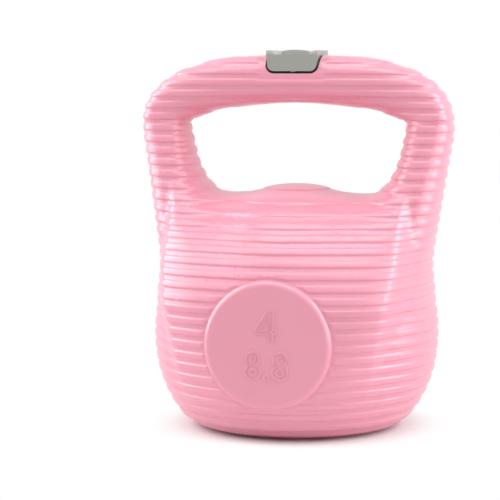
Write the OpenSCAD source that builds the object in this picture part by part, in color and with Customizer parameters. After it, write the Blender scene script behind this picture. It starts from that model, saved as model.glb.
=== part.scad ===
// Kettlebell with a ribbed soft skin over a two-part hollow core, cast ballast,
// a slim grip bar and a latched grey cap over the filler mouth in the bar.
// Frame: origin at the centre of the base, +X along the grip bar, -Y the front
// (the side with the round plain badge), +Z up. Millimetres.

/* [Overall] */
// Height of the grip bar's top above the floor
body_h = 236; // [225:1:285]
// Width over the widest part of the handle
handle_w = 200; // [190:1:245]

/* [Ball] */
// Diameter of the ball
ball_w = 181; // [160:1:192]
// Height of the ball's widest ring
ball_mid_z = 61.5; // [55:0.5:66]
// Height of the ball's crown inside the handle window
ball_top_z = 154; // [130:0.5:160]
// Depth of the ball's lower curve, if it closed to a point
ball_low = 83.7; // [78:0.1:92]
// Roundness of the ball's lower curve, 2 for an ellipse
ball_low_power = 2.2; // [2:0.1:3]

/* [Badge] */
// Diameter of the plain round badge on the ball's front
badge_w = 75; // [50:1:80]
// How far the badge's flat face lies behind the ball's foremost point
badge_sink = 4; // [3:0.5:5]
// Radius of the badge's rounded edge
badge_edge = 4.5; // [3:0.5:5]

/* [Handle] */
// Distance from the bar's top down to the handle's widest height
crown_drop = 50; // [44:1:54]
// Thickness of the grip bar
bar_t = 31; // [28:0.5:36]
// Front-to-back depth of the grip bar
bar_depth = 34; // [33:0.5:42]
// Width of the handle window where its arch springs
window_w = 141; // [120:1:150]
// Rise of the window's arch
window_rise = 14; // [10:0.5:20]
// Squareness of the handle's outer shoulders
shoulder_power = 2.7; // [2:0.1:3]
// Squareness of the window's arch
window_power = 1.75; // [1.6:0.05:2.5]
// How far the uprights' outer faces lean in for each mm down
outer_lean = 0.176; // [0.1:0.002:0.2]
// How far the uprights' inner faces lean in for each mm down
inner_lean = 0.2; // [0.1:0.01:0.25]
// How far half the uprights' depth grows for each mm down
depth_lean = 0.25; // [0.1:0.01:0.3]
// Height at which the uprights' feet begin to spread into the ball
foot_z = 172; // [165:1:180]
// How far the feet have spread 30 mm lower
foot_spread = 8; // [4:0.5:9]
// Squareness of the handle's cross-section
grip_power = 2.4; // [2:0.1:3]

/* [Walls] */
// Thickness of the soft skin
skin_t = 2.5; // [1.5:0.1:2.8]
// Wall thickness of the core halves
core_t = 3; // [2:0.1:3.5]
// Gap between bonded or nested walls
bond = 0.1; // [0.05:0.05:0.2]
// Height of the ballast's top
ballast_top = 112; // [90:1:120]

/* [Base] */
// Diameter of the base pad
pad_w = 112; // [90:1:116]
// Thickness of the base pad
pad_t = 3; // [2:0.1:4]
// How far the pad stands below the skin
pad_proud = 0.8; // [0.5:0.1:1.2]
// Number of ring grooves under the pad
pad_rings = 3; // [1:1:4]

/* [Core screws] */
// Diameter of a core screw
core_screw_d = 3; // [2.5:0.1:3.5]
// Diameter of a core screw's head
core_head_d = 5.6; // [5:0.1:6]
// Length of a core screw
core_screw_len = 19; // [14:0.5:20]
// Half the distance between the two screws in the bar
bar_screw_x = 46; // [36:1:50]
// Distance of the upper upright screws below the handle's widest height
upper_screw_drop = 14; // [8:1:20]
// Distance of the lower upright screws below the handle's widest height
lower_screw_drop = 44; // [36:1:50]

/* [Cap] */
// Width of the cap at its lower edge
cap_w = 31.2; // [31:0.2:36]
// Extra width of each cap side at the horns
cap_flare = 1; // [0.4:0.1:1.2]
// How far the cap's front face stands past the bar's side
cap_proud = 0.2; // [0.1:0.1:0.5]
// Distance of the cap's lower edge below the bar's top
cap_drop = 11; // [11:0.1:12]
// Height of the horns above the bar's top
horn_h = 2; // [1.8:0.1:2.4]
// Depth of the dish between the horns
dish_d = 2.6; // [2.4:0.1:3]
// Width of the dish's flat floor
dish_w = 20; // [19.4:0.2:24]
// Corner radius at the cap's lower corners
cap_r = 4; // [3:0.2:4.4]
// Corner radius along the cap's top front and back edges
cap_top_r = 3; // [2:0.2:4]
// Thickness of the cap's walls
cap_wall = 2; // [1.8:0.1:2.4]
// Thickness of the cap's roof under the dish
cap_roof = 1.7; // [1.5:0.1:1.8]
// Visible gap round the cap
cap_gap = 1.5; // [1.3:0.1:1.8]
// Gap between the cap and the pocket liner
liner_gap = 0.4; // [0.3:0.05:0.5]
// Depth of the liner behind the bar's surface
liner_recess = 1.4; // [1:0.1:2]

/* [Filler mouth] */
// Bore of the filler mouth
mouth_d = 14; // [10:0.5:14]
// Wall of the mouth's neck
neck_wall = 2; // [1.5:0.1:2]
// Width of the seal's ring round the neck
seal_w = 2; // [1.5:0.1:2]
// Thickness of the mouth seal
seal_t = 1; // [0.8:0.1:1.2]
// Thickness of the stopper's flange
flange_t = 1; // [0.8:0.1:1.1]
// Radius of the stopper's flange past the bore
flange_w = 1.5; // [1:0.1:1.6]
// Width of the cap gasket's ring
gasket_w = 1.8; // [1.2:0.1:1.8]

/* [Release button] */
// Width of the button along the bar
button_w = 17.8; // [17.8:0.1:18.6]
// Depth of the button across the bar
button_d = 12; // [11:0.5:12.5]
// Height of the button's crown above the bar's top
button_h = 2.4; // [2.2:0.1:2.8]
// Rise of the button's arched top
button_arch = 0.9; // [0.5:0.1:1]
// Travel of the button, and of each latch
travel = 1.6; // [1:0.1:1.6]
// Thickness of the latch plates
latch_t = 1.8; // [1.4:0.1:1.8]
// Width of the latch plates
latch_w = 11; // [8:0.5:11]
// Height of the lug on each latch
lug_h = 3; // [2.8:0.1:3]
// How far a latch reaches past the cap's side
latch_reach = 1.15; // [0.9:0.05:1.2]
// Running gap of the moving pieces
run_gap = 0.2; // [0.15:0.05:0.25]
// Outer diameter of the button spring
spring_d = 4.2; // [3.6:0.1:4.2]
// Wire diameter of the button spring
spring_wire = 0.5; // [0.4:0.05:0.6]

/* [Hidden] */
$fn = 64;

skin_pink = "#e3a0b2";
core_white = "#d9d6cf";
grey = "#979a93";
light_grey = "#bbbab6";
black = "#1d1c1e";
steel = "#b9bcc0";

// Places along the handle
crown_z = body_h - crown_drop;
bar_low_z = body_h - bar_t;
bar_mid_z = body_h - bar_t / 2;
window_z = bar_low_z - window_rise;
root_z = ball_mid_z + 9;
leg_steps = 10;
arch_steps = 20;
grip_sides = 24;

// Places in the base and core
base_skin_top = pad_proud + pad_t + 1.2;
core_boss_d = core_head_d + 3.4;
core_seat = 9;
neck_d = mouth_d + 2 * neck_wall;
pocket_wall_x = cap_w / 2 + cap_gap + cap_flare + core_t;

// Places in the cap, from its lower edge upwards
cap_low = body_h - cap_drop;
cap_top = body_h + horn_h;
cap_d = bar_depth + 2 * cap_proud;
pocket_low = cap_low - cap_gap;
liner_floor = cap_low - liner_gap;
plate_low = liner_floor + flange_t + 0.2;
plate_t = 1.5;
latch_low = plate_low + plate_t + run_gap;
latch_top = latch_low + latch_t;
lug_top = latch_top + lug_h;
dish_z = cap_top - dish_d;
roof_low = dish_z - cap_roof;
cavity_x = cap_w / 2 - cap_wall;
cavity_y = cap_d / 2 - cap_wall - 0.7;

// The button's legs and the latches' lugs share one 45 degree slope
leg_low = latch_top + travel + 0.3;
leg_tip = 1;
slope_x = button_w / 2 - leg_tip;
slope_gap = 0.35;
recess_top = lug_top + travel + 0.3;
latch_in = spring_d / 2 + travel + 0.5;
latch_tip = cap_w / 2 + latch_reach;

// Small fasteners
small_screw_d = 2;
small_head_d = 3.2;
small_head_t = 0.9;
cap_screw_len = 5;
liner_screw_len = 3.4;
cap_screw_at = [cavity_x - 2.6, cavity_y - 2.7];
liner_screw_y = 12.6;
thread_gap = 0.05;
head_t = 2;

function superarc(a, b, power, angle) = [
    a * sign(cos(angle)) * pow(abs(cos(angle)), 2 / power),
    b * sign(sin(angle)) * pow(abs(sin(angle)), 2 / power)
];

// How far an upright's foot has spread at a height
function spread(z) = foot_spread * pow(max(foot_z - z, 0) / 30, 2);

// Section of the handle at a height in an upright: [outer, inner, half depth]
function leg_station(z) = [
    [handle_w / 2 - (crown_z - z) * outer_lean, z],
    [window_w / 2 - (window_z - z) * inner_lean - spread(z), z],
    bar_depth / 2 + 2 + (crown_z - z) * depth_lean + spread(z) / 8
];

// Section of the handle at an angle round the arch
function arch_station(angle) = [
    [0, crown_z] + superarc(handle_w / 2, crown_drop, shoulder_power, angle),
    [0, window_z] + superarc(window_w / 2, window_rise, window_power, angle),
    bar_depth / 2 + 2 * pow(abs(cos(angle)), 2)
];

function flip(station) = [
    [-station[0][0], station[0][1]], [-station[1][0], station[1][1]], station[2]
];

stations = concat(
    [for (i = [0 : leg_steps - 1]) leg_station(root_z + (crown_z - root_z) * i / leg_steps)],
    [for (i = [0 : arch_steps]) arch_station(180 * i / arch_steps)],
    [for (i = [leg_steps - 1 : -1 : 0])
        flip(leg_station(root_z + (crown_z - root_z) * i / leg_steps))]
);

// One ring of points round a station, drawn in by the inset
function ring(station, inset) =
    let (outer = station[0], inner = station[1], mid = (outer + inner) / 2)
    let (half = norm(outer - inner) / 2, along = (outer - mid) / half)
    [for (k = [0 : grip_sides - 1])
        let (p = superarc(half - inset, station[2] - inset, grip_power, 360 * k / grip_sides))
        [mid[0] + along[0] * p[0], p[1], mid[1] + along[1] * p[0]]];

// The whole handle, from inside one flank of the ball to inside the other
module handle_solid(inset) {
    rings = [for (s = stations) ring(s, inset)];
    last = len(rings) - 1;
    n = grip_sides;
    polyhedron(
        points = [for (r = rings) each r],
        faces = concat(
            [[for (k = [0 : n - 1]) k]],
            [[for (k = [n - 1 : -1 : 0]) last * n + k]],
            [for (i = [0 : last - 1]) for (k = [0 : n - 1])
                [i * n + k, (i + 1) * n + k, (i + 1) * n + (k + 1) % n, i * n + (k + 1) % n]]
        ),
        convexity = 6
    );
}

// The ball, drawn in by the inset and cut flat at floor_z
module ball_solid(inset, floor_z) {
    r = ball_w / 2 - inset;
    up = ball_top_z - ball_mid_z - inset;
    down = ball_low - inset;
    low_r = r * pow(1 - pow((ball_mid_z - floor_z) / down, ball_low_power), 1 / ball_low_power);
    steps = 18;
    rotate_extrude($fn = 96)
        polygon(concat(
            [[0, floor_z], [low_r, floor_z]],
            [for (i = [1 : steps - 1])
                let (z = floor_z + (ball_mid_z - floor_z) * i / steps)
                [r * pow(1 - pow((ball_mid_z - z) / down, ball_low_power), 1 / ball_low_power), z]],
            [for (i = [0 : steps - 1])
                let (a = 90 * i / steps)
                [r * cos(a), ball_mid_z + up * sin(a)]],
            [[0, ball_mid_z + up]]
        ));
}

// The ball with its front cut flat behind the badge
module badged_ball(inset, floor_z) {
    difference() {
        ball_solid(inset, floor_z);
        translate([0, -ball_w / 2 + badge_sink + inset, ball_mid_z])
            rotate([90, 0, 0])
                cylinder(d = badge_w, h = ball_w);
    }
}

// The round badge, standing out of the ball with a rounded edge
module badge_disc() {
    root = 12;
    r = badge_w / 2;
    translate([0, -ball_w / 2 + badge_sink, ball_mid_z])
        rotate([-90, 0, 0])
            rotate_extrude($fn = 96)
                polygon(concat(
                    [[0, root], [0, 0]],
                    [for (a = [-90 : 15 : 0])
                        [r - badge_edge + badge_edge * cos(a), badge_edge + badge_edge * sin(a)]],
                    [[r, root]]
                ));
}

// Cross-section of the bar near its middle, as a bar along X
module bar_section(inset, length) {
    translate([-length / 2, 0, bar_mid_z])
        rotate([90, 0, 90])
            linear_extrude(length)
                polygon([for (k = [0 : 47])
                    superarc(bar_depth / 2 - inset, bar_t / 2 - inset, grip_power, 360 * k / 48)]);
}

// Outline of the cap seen from the front, grown by g, with straight sides up to top_z
function cap_sides(g, top_z) =
    let (half = cap_w / 2 + g, low = cap_low - g, r = cap_r + g)
    let (top_half = half + cap_flare * (top_z - cap_low) / (cap_top - cap_low))
    concat(
        [for (a = [180 : 15 : 270]) [-half + r + r * cos(a), low + r + r * sin(a)]],
        [for (a = [270 : 15 : 360]) [half - r + r * cos(a), low + r + r * sin(a)]],
        [[top_half, top_z], [-top_half, top_z]]
    );

module along_y(depth) {
    translate([0, depth / 2, 0])
        rotate([90, 0, 0])
            linear_extrude(depth)
                children();
}

// The opening in skin and core that the cap and its liner sit in
module pocket_cut() {
    along_y(3 * bar_depth) polygon(cap_sides(cap_gap, cap_top + 5));
}

// Where the core screws go: [x, z]
core_screw_places = concat(
    [for (side = [-1, 1]) [side * bar_screw_x, bar_mid_z - 1.5]],
    [for (side = [-1, 1]) for (drop = [upper_screw_drop, lower_screw_drop])
        let (s = leg_station(crown_z - drop))
        [side * (s[0][0] + s[1][0]) / 2, crown_z - drop]]
);

module at_core_screws() {
    for (p = core_screw_places)
        translate([p[0], 0, p[1]])
            rotate([-90, 0, 0])
                children();
}

// A stepped tool along the screw's own axis, with its head face on z = 0
module screw_shape(d, len, head_d, head_h, grow) {
    union() {
        translate([0, 0, -0.01]) cylinder(d = d + 2 * grow, h = len + 0.01 + grow);
        translate([0, 0, -head_h - grow]) cylinder(d = head_d + 2 * grow, h = head_h + grow);
    }
}

module core_whole() {
    outer = skin_t + bond;
    inner = skin_t + bond + core_t;
    difference() {
        union() {
            badged_ball(outer, base_skin_top + bond);
            handle_solid(outer);
        }
        difference() {
            union() {
                badged_ball(inner, base_skin_top + bond + core_t);
                handle_solid(inner);
            }
            // the pocket's floor and side walls stay solid
            translate([-pocket_wall_x, -bar_depth, pocket_low - core_t])
                cube([2 * pocket_wall_x, 2 * bar_depth, bar_t]);
            at_core_screws()
                cylinder(d = core_boss_d, h = 2 * bar_depth, center = true);
        }
        pocket_cut();
        // the filler mouth and the seat of its seal
        translate([0, 0, pocket_low - 2 * core_t])
            cylinder(d = neck_d + 2 * bond, h = 4 * core_t);
        translate([0, 0, pocket_low - seal_t])
            cylinder(d = neck_d + 2 * bond + 2 * seal_w, h = 2 * core_t);
        for (side = [-1, 1])
            translate([0, side * liner_screw_y, liner_floor])
                rotate([180, 0, 0])
                    screw_shape(small_screw_d, liner_screw_len, small_head_d, small_head_t, thread_gap);
        at_core_screws()
            translate([0, 0, -core_seat])
                screw_shape(core_screw_d, core_screw_len, core_head_d, 3 * bar_depth, thread_gap);
    }
}

module half_space(side) {
    big = 2 * body_h;
    translate([-big / 2, side > 0 ? 0 : -big, -big / 4])
        cube([big, big, big]);
}

// ---- pieces ----

module body_skin() {
    color(skin_pink)
        difference() {
            union() {
                badged_ball(0, pad_proud);
                handle_solid(0);
                badge_disc();
            }
            badged_ball(skin_t, base_skin_top);
            handle_solid(skin_t);
            pocket_cut();
            translate([0, 0, -1])
                cylinder(d = pad_w + 2 * bond, h = pad_t + 1 + bond);
        }
}

module core_front() {
    color(core_white)
        intersection() {
            core_whole();
            half_space(-1);
        }
}

module core_rear() {
    color(core_white)
        intersection() {
            core_whole();
            half_space(1);
        }
}

module core_screws() {
    color(steel)
        at_core_screws()
            translate([0, 0, -core_seat])
                difference() {
                    screw_shape(core_screw_d, core_screw_len, core_head_d, head_t, 0);
                    translate([0, 0, -head_t - 0.1])
                        cylinder(d = core_screw_d, h = head_t * 0.6, $fn = 6);
                }
}

module ballast_fill() {
    inset = skin_t + core_t + 3 * bond;
    color("#6b6660")
        intersection() {
            badged_ball(inset, base_skin_top + core_t + 2 * bond);
            cylinder(d = 2 * ball_w, h = ballast_top);
        }
}

module base_pad() {
    groove_w = 3;
    groove_d = 0.8;
    color("#c9788c")
        difference() {
            cylinder(d = pad_w, h = pad_t, $fn = 96);
            for (i = [1 : pad_rings])
                let (r = pad_w / 2 * i / (pad_rings + 0.6))
                translate([0, 0, -1])
                    difference() {
                        cylinder(r = r + groove_w / 2, h = 1 + groove_d, $fn = 96);
                        translate([0, 0, -1])
                            cylinder(r = r - groove_w / 2, h = 3 + groove_d, $fn = 96);
                    }
        }
}

module pocket_liner() {
    color(black)
        difference() {
            union() {
                intersection() {
                    difference() {
                        along_y(bar_depth) polygon(cap_sides(cap_gap - bond, cap_top));
                        along_y(2 * bar_depth) polygon(cap_sides(liner_gap, cap_top + 1));
                    }
                    bar_section(liner_recess, 3 * cap_w);
                }
                translate([0, 0, pocket_low - core_t])
                    cylinder(d = neck_d, h = core_t + cap_gap - liner_gap);
            }
            translate([0, 0, pocket_low - 2 * core_t])
                cylinder(d = mouth_d, h = 4 * core_t);
            translate([-cap_w, -latch_w / 2 - run_gap, latch_low - run_gap])
                cube([2 * cap_w, latch_w + 2 * run_gap, latch_t + 2 * run_gap]);
            for (side = [-1, 1])
                translate([0, side * liner_screw_y, liner_floor])
                    rotate([180, 0, 0])
                        screw_shape(small_screw_d, liner_screw_len, small_head_d, small_head_t, thread_gap);
        }
}

module liner_screws() {
    color(steel)
        for (side = [-1, 1])
            translate([0, side * liner_screw_y, liner_floor])
                rotate([180, 0, 0])
                    small_screw(liner_screw_len);
}

module small_screw(len) {
    difference() {
        screw_shape(small_screw_d, len, small_head_d, small_head_t, 0);
        translate([0, 0, -small_head_t - 0.1])
            cylinder(d = small_screw_d * 0.7, h = small_head_t * 0.7, $fn = 6);
    }
}

module mouth_seal() {
    color(black)
        translate([0, 0, pocket_low - seal_t])
            difference() {
                cylinder(d = neck_d + 2 * seal_w, h = seal_t - bond / 2);
                translate([0, 0, -1])
                    cylinder(d = neck_d + 2 * bond, h = seal_t + 2);
            }
}

module filler_stopper() {
    color("#3a3a3c")
        difference() {
            union() {
                translate([0, 0, pocket_low - core_t + 0.5])
                    cylinder(d = mouth_d - 2 * bond, h = liner_floor - pocket_low + core_t - 0.5);
                translate([0, 0, liner_floor])
                    cylinder(d = mouth_d + 2 * flange_w, h = flange_t);
            }
            translate([0, 0, pocket_low - core_t])
                cylinder(d = mouth_d - 4, h = core_t);
        }
}

module cap_gasket() {
    inner_r = mouth_d / 2 + flange_w + 0.3;
    color(black)
        translate([0, 0, liner_floor])
            difference() {
                cylinder(r = inner_r + gasket_w, h = plate_low - liner_floor);
                translate([0, 0, -1])
                    cylinder(r = inner_r, h = plate_low - liner_floor + 2);
            }
}

// Outline of the whole cap seen from the front, with its horns and dish
module cap_front_outline() {
    top_half = cap_w / 2 + cap_flare;
    horn_flat = 2;
    dish_half = dish_w / 2;
    dish_run = top_half - horn_flat - dish_half;
    difference() {
        polygon(cap_sides(0, cap_top));
        polygon(concat(
            [for (i = [0 : 8])
                [-top_half + horn_flat + dish_run * i / 8, cap_top - dish_d * (1 - cos(180 * i / 8)) / 2]],
            [for (i = [8 : -1 : 0])
                [top_half - horn_flat - dish_run * i / 8, cap_top - dish_d * (1 - cos(180 * i / 8)) / 2]],
            [[top_half - horn_flat, cap_top + 1], [-top_half + horn_flat, cap_top + 1]]
        ));
    }
}

// Outline of the cap seen along the bar, with rounded top edges
module cap_side_outline() {
    half = cap_d / 2;
    polygon(concat(
        [[-half, cap_low], [half, cap_low]],
        [for (a = [0 : 15 : 90])
            [half - cap_top_r + cap_top_r * cos(a), cap_top - cap_top_r + cap_top_r * sin(a)]],
        [for (a = [90 : 15 : 180])
            [-half + cap_top_r + cap_top_r * cos(a), cap_top - cap_top_r + cap_top_r * sin(a)]]
    ));
}

module at_cap_screws() {
    for (sx = [-1, 1])
        for (sy = [-1, 1])
            translate([sx * cap_screw_at[0], sy * cap_screw_at[1], plate_low])
                children();
}

module cap_cover() {
    boss_d = 4.6;
    color(grey)
        difference() {
            union() {
                difference() {
                    intersection() {
                        along_y(2 * cap_d) cap_front_outline();
                        translate([-cap_w, 0, 0])
                            rotate([90, 0, 90])
                                linear_extrude(2 * cap_w)
                                    cap_side_outline();
                    }
                    translate([-cavity_x, -cavity_y, cap_low - 1])
                        cube([2 * cavity_x, 2 * cavity_y, roof_low - cap_low + 1]);
                }
                at_cap_screws()
                    translate([0, 0, plate_t])
                        cylinder(d = boss_d, h = roof_low + 0.5 - plate_low - plate_t);
            }
            at_cap_screws()
                screw_shape(small_screw_d, cap_screw_len, small_head_d, small_head_t, thread_gap);
            // hole for the button and the latches' slots
            translate([-button_w / 2 - run_gap, -button_d / 2 - run_gap, roof_low - 1])
                cube([button_w + 2 * run_gap, button_d + 2 * run_gap, cap_roof + 5]);
            translate([-cap_w, -latch_w / 2 - run_gap, latch_low - run_gap])
                cube([2 * cap_w, latch_w + 2 * run_gap, latch_t + 2 * run_gap]);
        }
}

module cap_base() {
    fit = 0.1;
    color("#6f726d")
        difference() {
            translate([-cavity_x + fit, -cavity_y + fit, plate_low])
                cube([2 * (cavity_x - fit), 2 * (cavity_y - fit), plate_t]);
            at_cap_screws()
                screw_shape(small_screw_d, cap_screw_len, small_head_d, small_head_t, thread_gap);
        }
}

module cap_screws() {
    color(steel)
        at_cap_screws()
            small_screw(cap_screw_len);
}

module release_button() {
    half = button_w / 2;
    top = body_h + button_h;
    collar_w = 14;
    collar_t = 1.4;
    color(light_grey)
        union() {
            along_y(button_d)
                polygon(concat(
                    [[slope_x, leg_low], [half, leg_low]],
                    [for (i = [0 : 16])
                        let (x = half - button_w * i / 16)
                        [x, top - button_arch * pow(x / half, 2)]],
                    [[-half, leg_low], [-slope_x, leg_low]],
                    [[-slope_x + recess_top - leg_low, recess_top],
                     [slope_x - recess_top + leg_low, recess_top]]
                ));
            // collars under the roof that keep the button in the cap
            for (side = [-1, 1])
                translate([-collar_w / 2, side * button_d / 2 - 1, recess_top - 2])
                    cube([collar_w, 2, collar_t]);
        }
}

// A coil of round wire that fills a height along +Z from the origin
module coil(d, wire, height, turns) {
    steps = 12;
    sides = 6;
    rings = steps * turns;
    centre_r = (d - wire) / 2;
    rise = (height - wire) / rings;
    points = [for (i = [0 : rings]) for (k = [0 : sides - 1])
        let (out = centre_r + wire / 2 * cos(360 * k / sides), turn = 360 * i / steps)
        [out * cos(turn), out * sin(turn), wire / 2 + rise * i + wire / 2 * sin(360 * k / sides)]];
    polyhedron(
        points = points,
        faces = concat(
            [[for (k = [sides - 1 : -1 : 0]) k]],
            [[for (k = [0 : sides - 1]) rings * sides + k]],
            [for (i = [0 : rings - 1]) for (k = [0 : sides - 1])
                each [
                    [i * sides + k, i * sides + (k + 1) % sides, (i + 1) * sides + k],
                    [i * sides + (k + 1) % sides, (i + 1) * sides + (k + 1) % sides, (i + 1) * sides + k]
                ]]
        ),
        convexity = 10
    );
}

module button_spring() {
    spring_low = plate_low + plate_t;
    color(steel)
        translate([0, 0, spring_low])
            coil(spring_d, spring_wire, recess_top - spring_low, 6);
}

// The right latch; the left one is its mirror image
module latch_shape() {
    lug_slope_x = slope_x + leg_low - lug_top - slope_gap;
    lug_w = 6;
    union() {
        translate([latch_in, -latch_w / 2, latch_low])
            cube([latch_tip - latch_in, latch_w, latch_t]);
        along_y(lug_w)
            polygon([
                [latch_in, latch_top - 0.5], [latch_in, lug_top], [lug_slope_x, lug_top],
                [lug_slope_x + lug_h, latch_top], [lug_slope_x + lug_h, latch_top - 0.5]
            ]);
    }
}

module latch_right() {
    color(grey) latch_shape();
}

module latch_left() {
    color(grey) mirror([1, 0, 0]) latch_shape();
}

module latch_springs() {
    latch_spring_d = latch_t - 0.2;
    latch_spring_y = latch_w / 2 - latch_spring_d / 2 - 0.3;
    color(steel)
        for (side = [-1, 1])
            translate([-latch_in, side * latch_spring_y, latch_low + latch_t / 2])
                rotate([0, 90, 0])
                    coil(latch_spring_d, 0.3, 2 * latch_in, 6);
}

body_skin();
core_front();
core_rear();
core_screws();
ballast_fill();
base_pad();
pocket_liner();
liner_screws();
mouth_seal();
filler_stopper();
cap_gasket();
cap_cover();
cap_base();
cap_screws();
release_button();
button_spring();
latch_left();
latch_right();
latch_springs();
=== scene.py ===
import math

import bmesh
import bpy
import numpy as np
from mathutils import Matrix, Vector


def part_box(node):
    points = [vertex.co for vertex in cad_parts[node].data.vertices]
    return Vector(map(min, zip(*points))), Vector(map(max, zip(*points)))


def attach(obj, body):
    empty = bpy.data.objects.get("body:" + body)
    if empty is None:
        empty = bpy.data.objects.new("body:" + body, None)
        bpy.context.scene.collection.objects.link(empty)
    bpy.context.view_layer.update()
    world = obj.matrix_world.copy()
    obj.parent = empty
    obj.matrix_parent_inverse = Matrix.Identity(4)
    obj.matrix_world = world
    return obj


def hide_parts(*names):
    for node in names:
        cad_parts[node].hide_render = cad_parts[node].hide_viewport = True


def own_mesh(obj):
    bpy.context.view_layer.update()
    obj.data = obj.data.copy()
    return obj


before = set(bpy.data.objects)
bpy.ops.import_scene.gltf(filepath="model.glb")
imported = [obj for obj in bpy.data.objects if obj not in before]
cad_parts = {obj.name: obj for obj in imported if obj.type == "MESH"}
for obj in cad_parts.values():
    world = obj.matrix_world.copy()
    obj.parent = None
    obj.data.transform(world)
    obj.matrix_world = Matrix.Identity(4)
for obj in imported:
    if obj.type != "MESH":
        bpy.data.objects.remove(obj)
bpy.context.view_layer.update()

MM = 0.001
BODY = "kettlebell"

# ---------------------------------------------------------------- sizes from the frame, in mm


def box_mm(node):
    low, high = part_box(node)
    return np.array(low) / MM, np.array(high) / MM


skin_low, skin_high = box_mm("body_skin")
cap_low, cap_high = box_mm("cap_cover")

BAR_TOP = 236.0
RIB_PITCH = 7.2
RIB_DEPTH = 0.8
RIB_CROWN = 0.2
RIB_FACE = 0.56  # share of the pitch that stands proud
RIB_EDGE = 0.055  # share of the pitch that each edge takes

BALL_R = skin_high[1]
BALL_MID = 61.5
BALL_UP = 92.5
BALL_DOWN = 83.7
BALL_DOWN_POWER = 2.2
BASE_Z = skin_low[2]
BASE_ROUND = 9.0

HANDLE_R = skin_high[0]
CROWN_Z = 186.0
CROWN_H = BAR_TOP - CROWN_Z
WINDOW_Z = 191.0
WINDOW_R = 70.4
WINDOW_H = 14.0
SHOULDER_POWER = 2.7
WINDOW_POWER = 1.75
OUTER_LEAN = 0.176
INNER_LEAN = 0.2
GRIP_POWER = 2.4
BAR_HALF_DEPTH = 17.7
DEPTH_LEAN = 0.25
LEG_FADE_Z = 84.0

BADGE_Z = 61.5
BADGE_R = 39.3
BADGE_Y = skin_low[1]
BADGE_BACK = 12.5  # its back face, below its front
BADGE_LAND_R = 40.3
FACE_SINK = 0.62
BADGE_ROUND = 4.0

CAP_HALF = 15.6  # half width of the cap at its lower edge
CAP_CORNER = 4.0
CAP_FLARE = 1.0  # how far each side leans out over the cap's height
CAP_GAP = 1.5

PAD_X = 21.5  # half width of the rib-free pad round the cap
PAD_Z = 219.4  # its lower edge

# ---------------------------------------------------------------- mesh helpers


def new_mesh(name, points, faces, smooth=True):
    mesh = bpy.data.meshes.new(name)
    mesh.from_pydata([tuple(p) for p in points], [], [tuple(f) for f in faces])
    mesh.validate()
    mesh.update()
    if smooth:
        mesh.polygons.foreach_set("use_smooth", [True] * len(mesh.polygons))
    piece = bpy.data.objects.new(name, mesh)
    bpy.context.scene.collection.objects.link(piece)
    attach(piece, BODY)
    return piece


def apply_modifiers(piece):
    graph = bpy.context.evaluated_depsgraph_get()
    mesh = bpy.data.meshes.new_from_object(piece.evaluated_get(graph))
    piece.modifiers.clear()
    old = piece.data
    piece.data = mesh
    bpy.data.meshes.remove(old)


# ---------------------------------------------------------------- the skin's shape, as a field


def superlength(u, v, power):
    return (np.abs(u) ** power + np.abs(v) ** power) ** (1 / power)


def smooth_min(a, b, k):
    h = np.clip(k - np.abs(a - b), 0, None) / k
    return np.minimum(a, b) - h * h * k / 4


def smooth_max(a, b, k):
    return -smooth_min(-a, -b, k)


def smooth_step(edge0, edge1, value):
    t = np.clip((value - edge0) / (edge1 - edge0), 0, 1)
    return t * t * (3 - 2 * t)


def ball_field(x, y, z):
    dz = z - BALL_MID
    high = dz > 0
    depth = np.where(high, BALL_UP, BALL_DOWN)
    power = np.where(high, 2.0, BALL_DOWN_POWER)
    return (superlength(np.hypot(x, y) / BALL_R, dz / depth, power) - 1) * BALL_R


def arch_distance(across, rise, half, height, power):
    """Distance past an arch: straight below its spring line, a superellipse above it."""
    u, v = np.maximum(across, 1e-3) / half, np.maximum(rise, 0) / height
    rho = superlength(u, v, power)
    grad_u = (u / rho) ** (power - 1) / half
    grad_v = (v / rho) ** (power - 1) / height
    return (rho - 1) / np.hypot(grad_u, grad_v)


def handle_field(x, y, z):
    """Field of the handle, and how far out across its thickness a point lies, from -1 to 1."""
    across = np.abs(x)
    below = np.maximum(CROWN_Z - z, 0)
    rise = z - CROWN_Z
    outer = -arch_distance(across, rise, HANDLE_R - OUTER_LEAN * below, CROWN_H, SHOULDER_POWER)
    inner_r = WINDOW_R - INNER_LEAN * np.maximum(WINDOW_Z - z, 0)
    inner = arch_distance(across, z - WINDOW_Z, inner_r, WINDOW_H, WINDOW_POWER)
    thick = np.maximum(outer + inner, 4)
    out = (inner - outer) / thick
    soft_below = (-rise + np.sqrt(rise * rise + 400)) / 2
    half_depth = BAR_HALF_DEPTH + DEPTH_LEAN * soft_below
    field = (superlength(out, y / half_depth, GRIP_POWER) - 1) * thick / 2
    return field + np.maximum(LEG_FADE_Z - z, 0) * 0.6, out


def skin_field(x, y, z):
    ball = ball_field(x, y, z)
    handle, out = handle_field(x, y, z)
    # the fillet is wide inside the window, and narrow outside it and high on the front
    low = 0.42 * (1 - smooth_step(100, 150, z))
    blend = 42 - 31 * smooth_step(low - 0.35, low + 0.45, out)
    body = smooth_min(ball, handle, blend)
    body = smooth_max(body, BASE_Z - z, BASE_ROUND)
    # the badge's flat: the ball is cut back under it
    from_badge = np.hypot(x, z - BADGE_Z)
    cut = np.minimum(BADGE_R - 1.5 - from_badge, BADGE_Y + 1.5 - y)
    return smooth_max(body, cut, 0.6)


def gradient(x, y, z, step=0.05):
    return np.stack([
        skin_field(x + step, y, z) - skin_field(x - step, y, z),
        skin_field(x, y + step, z) - skin_field(x, y - step, z),
        skin_field(x, y, z + step) - skin_field(x, y, z - step),
    ], axis=1) / (2 * step)


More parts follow.
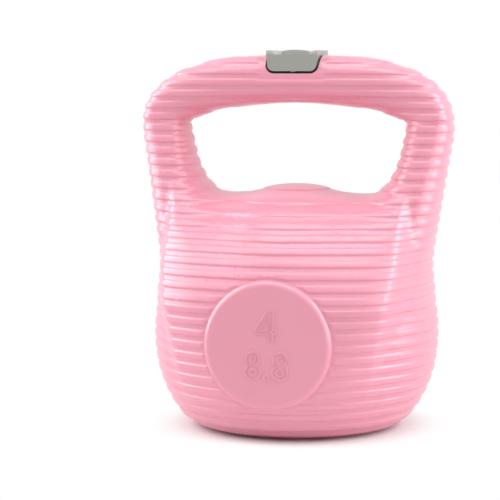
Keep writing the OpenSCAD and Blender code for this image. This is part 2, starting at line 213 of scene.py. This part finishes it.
def surface_net(xs, ys, zs):
    """A quad mesh of the skin field on an uneven grid: one point in each cell it passes through."""
    gx, gy, gz = np.meshgrid(xs, ys, zs, indexing="ij")
    field = skin_field(gx, gy, gz)
    inside = field < 0
    corners = [(i, j, k) for i in (0, 1) for j in (0, 1) for k in (0, 1)]
    shape = tuple(n - 1 for n in inside.shape)

    def corner(array, c):
        return array[c[0]:c[0] + shape[0], c[1]:c[1] + shape[1], c[2]:c[2] + shape[2]]

    count = sum(corner(inside, c).astype(np.int8) for c in corners)
    active = (count > 0) & (count < 8)
    index = np.full(shape, -1, np.int64)
    index[active] = np.arange(active.sum())
    # each point starts at the mean of the crossings on its cell's edges
    total = np.zeros((active.sum(), 3))
    hits = np.zeros(active.sum())
    for a in corners:
        for axis in range(3):
            if a[axis]:
                continue
            b = tuple(1 if n == axis else a[n] for n in range(3))
            fa, fb = corner(field, a)[active], corner(field, b)[active]
            cross = (fa < 0) != (fb < 0)
            share = np.where(cross, fa / np.where(cross, fa - fb, 1), 0)[:, None]
            pa = np.stack([corner(g, a)[active] for g in (gx, gy, gz)], axis=1)
            pb = np.stack([corner(g, b)[active] for g in (gx, gy, gz)], axis=1)
            total += np.where(cross[:, None], pa + (pb - pa) * share, 0)
            hits += cross
    points = total / hits[:, None]
    i, j, k = np.nonzero(active)
    centre_z = (zs[k] + zs[k + 1]) / 2
    quads = []
    for axis in range(3):
        u, v = [(1, 2), (2, 0), (0, 1)][axis]
        first = [slice(None)] * 3
        second = [slice(None)] * 3
        first[axis], second[axis] = slice(0, -1), slice(1, None)
        a, b = inside[tuple(first)], inside[tuple(second)]
        for leaving in (True, False):
            edges = np.argwhere((a & ~b) if leaving else (~a & b))
            around = []
            for du, dv in ((-1, -1), (0, -1), (0, 0), (-1, 0)):
                cell = edges.copy()
                cell[:, u] += du
                cell[:, v] += dv
                around.append(index[cell[:, 0], cell[:, 1], cell[:, 2]])
            quad = np.stack(around, axis=1)
            quads.append(quad if leaving else quad[:, ::-1])
    return points, centre_z, np.concatenate(quads)


def seat(points, row_z):
    """Moves points onto the surface, along level rows wherever the surface is steep."""
    x, y, z = points.T.copy()
    for turn in range(6):
        g = gradient(x, y, z)
        size = np.linalg.norm(g, axis=1)
        steep = 1 - smooth_step(0.8, 0.93, np.abs(g[:, 2]) / size)
        z = z + (row_z - z) * steep * 0.7
        f = skin_field(x, y, z)
        weight = np.stack([np.ones_like(x), np.ones_like(x), 1 - steep], axis=1)
        g = gradient(x, y, z) * weight
        move = np.clip(f / np.maximum((g * g).sum(axis=1), 1e-3), -2, 2)
        x, y, z = x - move * g[:, 0], y - move * g[:, 1], z - move * g[:, 2]
    return np.stack([x, y, z], axis=1)


def rib_profile(z):
    """0 on a rib's face and 1 in the land between ribs."""
    phase = np.mod(z, RIB_PITCH) / RIB_PITCH
    rise = smooth_step(0, RIB_EDGE, phase)
    fall = smooth_step(RIB_FACE, RIB_FACE + RIB_EDGE, phase)
    return 1 - rise * (1 - fall)


def rib_crown(z):
    """How far a rib's face falls away from its middle, as it is slightly rounded."""
    across = np.clip(np.mod(z, RIB_PITCH) / RIB_PITCH / RIB_FACE, 0, 1)
    return RIB_CROWN * (2 * across - 1) ** 2


def relief(points):
    """How deep each point lies below the ribs' faces."""
    x, y, z = points.T
    ribs = rib_profile(z)
    from_badge = np.hypot(x, z - BADGE_Z)
    badge = (1 - smooth_step(BADGE_LAND_R - 0.4, BADGE_LAND_R + 1.1, from_badge)) * (y < 0)
    pad = (1 - smooth_step(PAD_X - 0.3, PAD_X + 1.2, np.abs(x)))
    pad *= smooth_step(PAD_Z - 0.3, PAD_Z + 0.6, z)
    land = np.maximum(badge, pad)
    under = 1 - smooth_step(BASE_Z, BASE_Z + 2, z)
    sunk = np.maximum(ribs, land)
    return (RIB_DEPTH * sunk + rib_crown(z) * (1 - sunk)) * (1 - under)


def row_levels():
    """Heights of the rows: the corners of each rib's profile, from the base to the bar's top."""
    phases = np.array([0, 0.04, RIB_EDGE, 0.14, 0.35, 0.49,
                       RIB_FACE, 0.6, RIB_FACE + RIB_EDGE, 0.72, 0.9])
    ribs = int(math.ceil(BAR_TOP / RIB_PITCH)) + 1
    return np.concatenate([(phases + n) * RIB_PITCH for n in range(-1, ribs)])


def planes_between(levels):
    mids = (levels[1:] + levels[:-1]) / 2
    return mids[(mids > -6) & (mids < BAR_TOP + 5)]


def spaced(low, high, step):
    return np.linspace(low, high, int(round((high - low) / step)) + 1)


FINE_X, FINE, COARSE = 48.0, 1.55, 2.7
edge_x, edge_y = HANDLE_R + 5, BALL_R + 4
side = spaced(FINE_X, edge_x, COARSE)[1:]
grid_x = np.concatenate([-side[::-1], spaced(-FINE_X, FINE_X, FINE), side])
grid_y = spaced(-edge_y, edge_y, COARSE)
grid_z = planes_between(row_levels())


def skin_mesh():
    points, row_z, quads = surface_net(grid_x, grid_y, grid_z)
    points = seat(points, row_z)
    normal = gradient(*points.T)
    normal /= np.linalg.norm(normal, axis=1)[:, None]
    points = points - normal * relief(points)[:, None]
    return new_mesh("skin", points * MM, quads.tolist())


def cap_sides(grow, top_z):
    """Outline of the cap's sides and lower edge, as in the CAD, grown all round."""
    low_z = cap_low[2]
    r = CAP_CORNER + grow
    flare = CAP_FLARE * (top_z - low_z) / (cap_high[2] - low_z)
    w, b = CAP_HALF + grow, low_z - grow
    line = [(-w + r + r * math.cos(math.radians(a)), b + r + r * math.sin(math.radians(a)))
            for a in range(180, 271, 6)]
    line += [(w - r + r * math.cos(math.radians(a)), b + r + r * math.sin(math.radians(a)))
             for a in range(270, 361, 6)]
    return line + [(w + flare, top_z), (-w - flare, top_z)]


def prism_y(name, outline, y0, y1):
    """A closed prism of an x-z outline between two depths."""
    n = len(outline)
    points = [(x * MM, y0 * MM, z * MM) for x, z in outline]
    points += [(x * MM, y1 * MM, z * MM) for x, z in outline]
    faces = [tuple(range(n)), tuple(range(2 * n - 1, n - 1, -1))]
    faces += [(k, k + n, (k + 1) % n + n, (k + 1) % n) for k in range(n)]
    mesh = bpy.data.meshes.new(name)
    mesh.from_pydata(points, [], faces)
    mesh.update()
    tidy = bmesh.new()
    tidy.from_mesh(mesh)
    bmesh.ops.recalc_face_normals(tidy, faces=tidy.faces)
    tidy.to_mesh(mesh)
    tidy.free()
    return bpy.data.objects.new(name, mesh)


def cut_pocket(skin):
    tool = prism_y("pocket_tool", cap_sides(CAP_GAP, cap_high[2] + 6), -40, 40)
    bpy.context.scene.collection.objects.link(tool)
    cut = skin.modifiers.new("pocket", "BOOLEAN")
    cut.operation = "DIFFERENCE"
    cut.solver = "EXACT"
    cut.object = tool
    apply_modifiers(skin)
    bpy.data.objects.remove(tool)


skin = skin_mesh()
cut_pocket(skin)
skin.data.polygons.foreach_set("use_smooth", [True] * len(skin.data.polygons))
skin.data.set_sharp_from_angle(angle=math.radians(50))
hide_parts("body_skin")

# ---------------------------------------------------------------- the badge


def lathe(profile, steps, to_point):
    """Points and faces of a profile of (radius, height) turned once round; it starts on the axis."""
    points = [to_point(0, profile[0][1], 0)]
    for radius, height in profile[1:]:
        points += [to_point(radius, height, 2 * math.pi * s / steps) for s in range(steps)]
    faces = [(0, 1 + s, 1 + (s + 1) % steps) for s in range(steps)]
    for ring in range(len(profile) - 2):
        a, b = 1 + ring * steps, 1 + (ring + 1) * steps
        faces += [(a + s, b + s, b + (s + 1) % steps, a + (s + 1) % steps) for s in range(steps)]
    last = 1 + (len(profile) - 2) * steps
    faces.append(tuple(last + s for s in range(steps - 1, -1, -1)))
    return points, faces


def badge_mesh():
    """A flat disc with a soft rounded rim, sunk into the front of the ball."""
    face_r = BADGE_R - BADGE_ROUND
    profile = [(0, FACE_SINK)]
    profile += [(r, FACE_SINK) for r in np.linspace(3, face_r, 12)]
    profile += [(face_r + BADGE_ROUND * math.sin(math.radians(a)),
                 FACE_SINK + BADGE_ROUND * (1 - math.cos(math.radians(a)))) for a in range(9, 91, 9)]
    profile += [(BADGE_R, BADGE_BACK - 5), (BADGE_R, BADGE_BACK)]
    points, faces = lathe(profile, 192, lambda r, h, a: (
        r * math.cos(a) * MM, (BADGE_Y + h) * MM, (BADGE_Z + r * math.sin(a)) * MM))
    return new_mesh("badge", points, faces)


badge = badge_mesh()
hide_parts("body_skin")


def bead(name, loops, radius, y):
    """Round beads along closed x-z outlines, half sunk in the face they lie on."""
    points, faces = [], []
    sides = 10
    for loop in loops:
        start, n = len(points), len(loop)
        for k in range(n):
            here, before, after = (np.array(loop[j % n]) for j in (k, k - 1, k + 1))
            along_a = (here - before) / np.linalg.norm(here - before)
            along_b = (after - here) / np.linalg.norm(after - here)
            across = np.array([-(along_a + along_b)[1], (along_a + along_b)[0]])
            across /= np.linalg.norm(across)
            stretch = 1 / max(np.dot(across, [-along_a[1], along_a[0]]), 0.5)
            for s in range(sides):
                turn = 2 * math.pi * s / sides
                off = here + across * radius * stretch * math.cos(turn)
                points.append((off[0] * MM, (y + radius * math.sin(turn)) * MM, off[1] * MM))
        for k in range(n):
            a, b = start + k * sides, start + (k + 1) % n * sides
            faces += [(a + s, b + s, b + (s + 1) % sides, a + (s + 1) % sides) for s in range(sides)]
    piece = new_mesh(name, points, faces)
    tidy = bmesh.new()
    tidy.from_mesh(piece.data)
    bmesh.ops.recalc_face_normals(tidy, faces=tidy.faces)
    tidy.to_mesh(piece.data)
    tidy.free()
    return piece


def oval(cx, cz, rx, rz, low=0, high=360, steps=32):
    return [(cx + rx * math.cos(math.radians(low + (high - low) * k / steps)),
             cz + rz * math.sin(math.radians(low + (high - low) * k / steps))) for k in range(steps)]


def four(x, z):
    """Outlines of a figure 4 whose lower left corner is at x, z."""
    outer = [(8.2, 0), (11.1, 0), (11.1, 4.2), (13, 4.2), (13, 7), (11.1, 7), (11.1, 18.6),
             (7.6, 18.6), (0, 7.5), (0, 4.2), (8.2, 4.2)]
    inner = [(8.2, 7), (8.2, 14.2), (3.3, 7)]
    return [[(x + u, z + v) for u, v in line] for line in (outer, inner)]


def eight(x, z):
    """Outlines of a figure 8: two stacked ovals with a hole in each."""
    low, high = (4.8, 4.7, 4.8, 4.7), (4.8, 12.5, 4.3, 4.5)

    def half(v):
        return max(rx * math.sqrt(max(1 - ((v - cz) / rz) ** 2, 0)) for _, cz, rx, rz in (low, high))

    rise = [low[1] + low[3] * math.sin(math.radians(a)) for a in range(-84, 57, 10)]
    rise += [high[1] + high[3] * math.sin(math.radians(a)) for a in range(-56, 85, 10)]
    outer = [(x + 4.8, z)] + [(x + 4.8 + half(v), z + v) for v in rise]
    outer += [(x + 4.8, z + 17)] + [(x + 4.8 - half(v), z + v) for v in reversed(rise)]
    return [outer, oval(x + 4.8, z + low[1], 2.1, 2.0), oval(x + 4.8, z + high[1], 1.7, 1.8)]


def badge_numbers():
    """Plain numerals, raised as outlines: 4 over 8.8."""
    upper, lower, space = BADGE_Z + 2.8, BADGE_Z - 20.6, 2.2
    start = -(2 * 9.6 + 2 * space + 2.6) / 2
    loops = four(-6.9, upper) + eight(start, lower) + eight(-start - 9.6, lower)
    loops.append(oval(0, lower + 1.3, 1.3, 1.3, steps=20))
    return bead("badge_numbers", loops, 0.6, BADGE_Y + FACE_SINK)


numbers = badge_numbers()
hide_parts("body_skin")

# ---------------------------------------------------------------- materials


def linear(red, green, blue):
    def one(v):
        v /= 255
        return v / 12.92 if v <= 0.04045 else ((v + 0.055) / 1.055) ** 2.4
    return one(red), one(green), one(blue), 1.0


def material(name, dark, light, rough, rough_spread, noise_scale, bump, grain_scale, **sockets):
    """Moulded finish: a slow drift between two close colours, fine grain and uneven gloss."""
    made = bpy.data.materials.new(name)
    made.use_nodes = True
    nodes, links = made.node_tree.nodes, made.node_tree.links
    shader = nodes["Principled BSDF"]
    place = nodes.new("ShaderNodeTexCoord")
    drift = nodes.new("ShaderNodeTexNoise")
    drift.inputs["Scale"].default_value = noise_scale
    drift.inputs["Detail"].default_value = 3
    links.new(place.outputs["Object"], drift.inputs["Vector"])
    mix = nodes.new("ShaderNodeMix")
    mix.data_type = "RGBA"
    mix.inputs[6].default_value = dark
    mix.inputs[7].default_value = light
    links.new(drift.outputs["Fac"], mix.inputs[0])
    links.new(mix.outputs[2], shader.inputs["Base Color"])
    grain = nodes.new("ShaderNodeTexNoise")
    grain.inputs["Scale"].default_value = grain_scale
    grain.inputs["Detail"].default_value = 2
    links.new(place.outputs["Object"], grain.inputs["Vector"])
    gloss = nodes.new("ShaderNodeMapRange")
    gloss.inputs["To Min"].default_value = rough - rough_spread
    gloss.inputs["To Max"].default_value = rough + rough_spread
    links.new(drift.outputs["Fac"], gloss.inputs["Value"])
    links.new(gloss.outputs["Result"], shader.inputs["Roughness"])
    raised = nodes.new("ShaderNodeBump")
    raised.inputs["Strength"].default_value = bump
    raised.inputs["Distance"].default_value = 0.0002
    links.new(grain.outputs["Fac"], raised.inputs["Height"])
    links.new(raised.outputs["Normal"], shader.inputs["Normal"])
    for socket, value in sockets.items():
        shader.inputs[socket.replace("_", " ")].default_value = value
    return made


pink = material("soft_pink", linear(224, 142, 162), linear(229, 149, 168),
                0.32, 0.04, 18, 0.12, 1400,
                Specular_IOR_Level=1.0, Subsurface_Weight=0.12, Subsurface_Radius=(1.0, 0.45, 0.5),
                Subsurface_Scale=0.003)
cap_grey = material("cap_grey", linear(148, 151, 144), linear(155, 158, 151),
                    0.34, 0.05, 60, 0.1, 2500)
button_grey = material("button_grey", linear(184, 183, 179), linear(191, 190, 186),
                       0.3, 0.05, 60, 0.1, 2500)
# Painted shade: the pocket liner is near black so that the narrow gap round the cap shows as dark as
# deep shadow.
gap_shade_black = material("pocket_liner_painted_shade", linear(16, 14, 15), linear(24, 21, 22), 0.6, 0.1, 80, 0.2, 2000)
rubber = material("seal_rubber", linear(30, 29, 30), linear(40, 38, 39), 0.75, 0.08, 90, 0.3, 1800)
pad_pink = material("pad_rubber", linear(188, 108, 128), linear(198, 118, 138),
                    0.7, 0.08, 40, 0.4, 900)
core_white = material("core_plastic", linear(205, 201, 193), linear(216, 212, 205),
                      0.55, 0.08, 25, 0.2, 900)
ballast_grey = material("ballast_cast", linear(84, 79, 74), linear(122, 116, 109),
                        0.9, 0.06, 120, 0.9, 700)
steel = material("fastener_steel", linear(176, 178, 182), linear(196, 198, 202),
                 0.3, 0.08, 300, 0.2, 3000,
                 Metallic=1.0)

CAD_LOOKS = {
    "core_front": core_white, "core_rear": core_white, "core_screws": steel,
    # the liner's near-black colour is painted shade for the gap round the cap
    "ballast_fill": ballast_grey, "base_pad": pad_pink, "pocket_liner": gap_shade_black,
    "liner_screws": steel, "mouth_seal": rubber, "filler_stopper": rubber,
    "cap_gasket": rubber, "cap_cover": cap_grey, "cap_base": cap_grey, "cap_screws": steel,
    "release_button": button_grey, "button_spring": steel, "latch_left": cap_grey,
    "latch_right": cap_grey, "latch_springs": steel,
}


def dress(piece, look):
    piece.data.materials.clear()
    piece.data.materials.append(look)


for node, look in CAD_LOOKS.items():
    dress(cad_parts[node], look)


def coil(node):
    """The node's springs as a separate steel piece, copied from the CAD mesh; the CAD node is
    hidden.
    """
    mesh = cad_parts[node].data.copy()
    piece = bpy.data.objects.new(node + "_coil", mesh)
    bpy.context.scene.collection.objects.link(piece)
    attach(piece, BODY)
    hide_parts(node)
    dress(piece, steel)
    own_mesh(piece)


coil("button_spring")
coil("latch_springs")
for piece in (skin, badge, numbers):
    dress(piece, pink)

for node, width in (("cap_cover", 0.5), ("release_button", 0.4)):
    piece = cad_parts[node]
    weld = piece.modifiers.new("weld", "WELD")
    weld.merge_threshold = 0.00001
    edge = piece.modifiers.new("edge", "BEVEL")
    edge.width = width * MM
    edge.segments = 3
    edge.limit_method = "ANGLE"
    edge.angle_limit = math.radians(35)
    edge.harden_normals = False

# ---------------------------------------------------------------- stage, light and camera


def plane(name, corners, look):
    mesh = bpy.data.meshes.new(name)
    mesh.from_pydata(corners, [], [(0, 1, 2, 3)])
    mesh.update()
    flat = bpy.data.objects.new(name, mesh)
    bpy.context.scene.collection.objects.link(flat)
    flat.data.materials.append(look)
    return flat


def seen_directly(nodes, links):
    """1 for camera, mirror and see-through rays, 0 for the rest."""
    path = nodes.new("ShaderNodeLightPath")
    total = path.outputs["Is Camera Ray"]
    for ray in ("Is Glossy Ray", "Is Transmission Ray"):
        add = nodes.new("ShaderNodeMath")
        add.use_clamp = True
        links.new(total, add.inputs[0])
        links.new(path.outputs[ray], add.inputs[1])
        total = add.outputs[0]
    return total


def floor_material():
    """Pale matte floor: it keeps the shadow near the object and fades to plain white around it."""
    made = bpy.data.materials.new("pale_floor")
    made.use_nodes = True
    nodes, links = made.node_tree.nodes, made.node_tree.links
    shader = nodes["Principled BSDF"]
    shader.inputs["Base Color"].default_value = (0.88, 0.88, 0.88, 1)
    shader.inputs["Roughness"].default_value = 0.9
    place = nodes.new("ShaderNodeTexCoord")
    length = nodes.new("ShaderNodeVectorMath")
    length.operation = "LENGTH"
    links.new(place.outputs["Object"], length.inputs[0])
    fade = nodes.new("ShaderNodeMapRange")
    fade.interpolation_type = "SMOOTHSTEP"
    for socket, value in (("From Min", 0.06), ("From Max", 0.1), ("To Min", 0.0), ("To Max", 1.0)):
        fade.inputs[socket].default_value = value
    links.new(length.outputs["Value"], fade.inputs["Value"])
    both = nodes.new("ShaderNodeMath")
    both.operation = "MULTIPLY"
    links.new(fade.outputs["Result"], both.inputs[0])
    links.new(seen_directly(nodes, links), both.inputs[1])
    white = nodes.new("ShaderNodeEmission")
    mix = nodes.new("ShaderNodeMixShader")
    links.new(both.outputs[0], mix.inputs[0])
    links.new(shader.outputs[0], mix.inputs[1])
    links.new(white.outputs[0], mix.inputs[2])
    links.new(mix.outputs[0], nodes["Material Output"].inputs["Surface"])
    return made


plane("floor", [(-3, -3, 0), (3, -3, 0), (3, 3, 0), (-3, 3, 0)], floor_material())


def world_light(strength):
    world = bpy.data.worlds.new("studio")
    bpy.context.scene.world = world
    world.use_nodes = True
    nodes, links = world.node_tree.nodes, world.node_tree.links
    nodes.clear()
    out = nodes.new("ShaderNodeOutputWorld")
    fill = nodes.new("ShaderNodeBackground")
    fill.inputs["Color"].default_value = (1, 1, 1, 1)
    fill.inputs["Strength"].default_value = strength
    white = nodes.new("ShaderNodeBackground")
    white.inputs["Color"].default_value = (1, 1, 1, 1)
    white.inputs["Strength"].default_value = 1
    choose = nodes.new("ShaderNodeMixShader")
    links.new(seen_directly(nodes, links), choose.inputs[0])
    links.new(fill.outputs[0], choose.inputs[1])
    links.new(white.outputs[0], choose.inputs[2])
    links.new(choose.outputs[0], out.inputs[0])


def area_light(name, place, target, size, power):
    data = bpy.data.lights.new(name, "AREA")
    data.shape = "RECTANGLE"
    data.size, data.size_y = size
    data.energy = power
    lamp = bpy.data.objects.new(name, data)
    lamp.location = place
    lamp.rotation_euler = (Vector(target) - Vector(place)).to_track_quat("-Z", "Y").to_euler()
    bpy.context.scene.collection.objects.link(lamp)


WORLD_LEVEL = 0.26
AIM = (0, 0, 0.12)
LAMPS = (  # name, place and size in metres, power in watts
    ("left_box", (-1.05, -0.25, 0.6), (0.9, 1.2), 9),
    ("right_box", (1.05, -0.3, 0.6), (0.9, 1.2), 7),
    ("left_rim", (-1.0, 0.1, 0.6), (0.4, 1.2), 5),
    ("right_rim", (1.0, 0.18, 0.6), (0.4, 1.2), 6.5),
    ("top_box", (0.0, -0.25, 1.2), (1.1, 0.7), 6.5),
    ("front_box", (0.1, -1.7, 1.0), (1.2, 0.8), 1.5),
)

world_light(WORLD_LEVEL)
for name, place, size, power in LAMPS:
    area_light(name, place, AIM, size, power)

CAMERA_D = 1.240
CAMERA_Z = 0.2307
CAMERA_YAW = 12.2
AXIS_SHIFT = 1.38
PITCH_DOWN = 5.5
camera_data = bpy.data.cameras.new("camera")
camera_data.lens = 140.6
camera_data.sensor_width = 36
camera_data.clip_start = 0.01
camera = bpy.data.objects.new("camera", camera_data)
turn = math.radians(CAMERA_YAW)
camera.location = (CAMERA_D * math.sin(turn), -CAMERA_D * math.cos(turn), CAMERA_Z)
camera.rotation_euler = (math.radians(90 - PITCH_DOWN), 0, math.radians(CAMERA_YAW + AXIS_SHIFT))
bpy.context.scene.collection.objects.link(camera)
bpy.context.scene.camera = camera
bpy.context.scene.view_settings.view_transform = "Standard"
